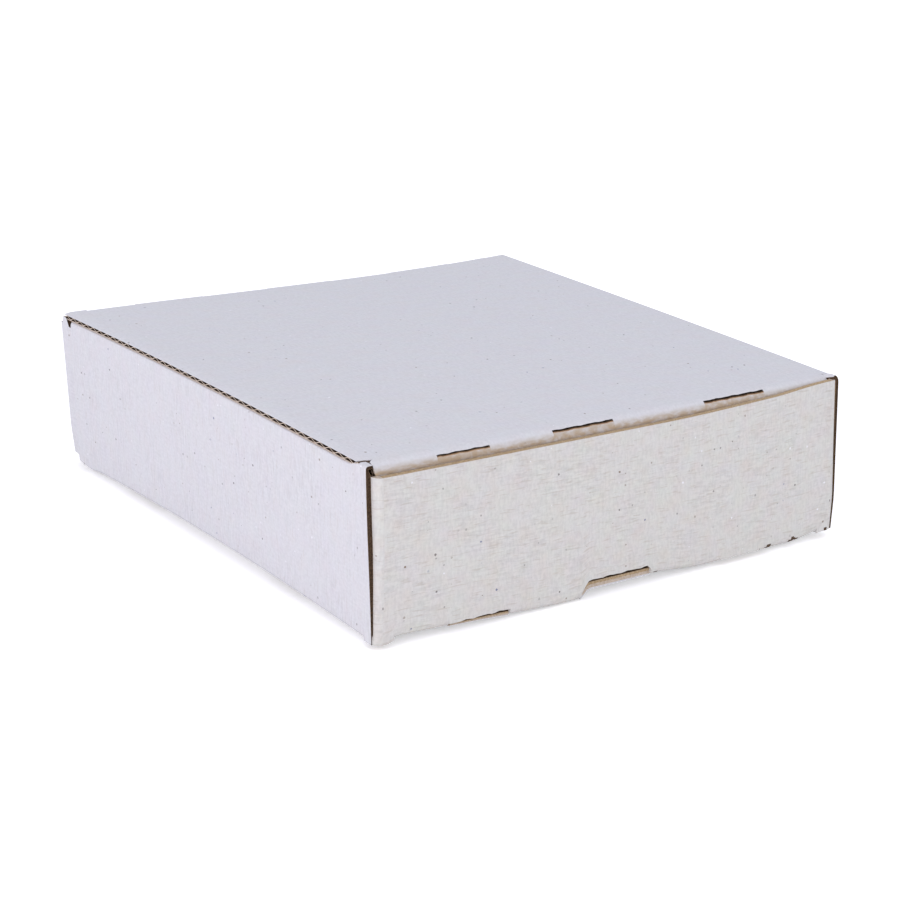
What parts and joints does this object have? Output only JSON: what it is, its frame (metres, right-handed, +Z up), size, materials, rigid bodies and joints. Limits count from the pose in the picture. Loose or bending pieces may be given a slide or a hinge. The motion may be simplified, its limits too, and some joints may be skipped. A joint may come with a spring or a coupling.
{
  "type": "cardboard mailing box",
  "caption": "Flat, nearly square corrugated mailing box, white outside and brown inside, with roll-over side walls and a hinged lid that tucks in behind the front wall.",
  "frame": {"origin": "middle of the base on the surface that the box stands on", "axes": "+X to the right along the front wall, +Y from the front wall to the hinge at the back, +Z up through the lid"},
  "size_m": [0.236, 0.242, 0.069],
  "materials": {
    "board": "matt white recycled liner outside, brown kraft inside and on cut edges"
  },
  "bodies": {
    "tray": {"tray": "board"},
    "lid": {"lid": "board"}
  },
  "joints": [
    {"name": "lid_hinge", "type": "hinge", "parent": "tray", "child": "lid", "pos_m": [0, 0.12009, 0.06809], "axis": [-1, 0, 0], "range_deg": [0, 170]}
  ]
}
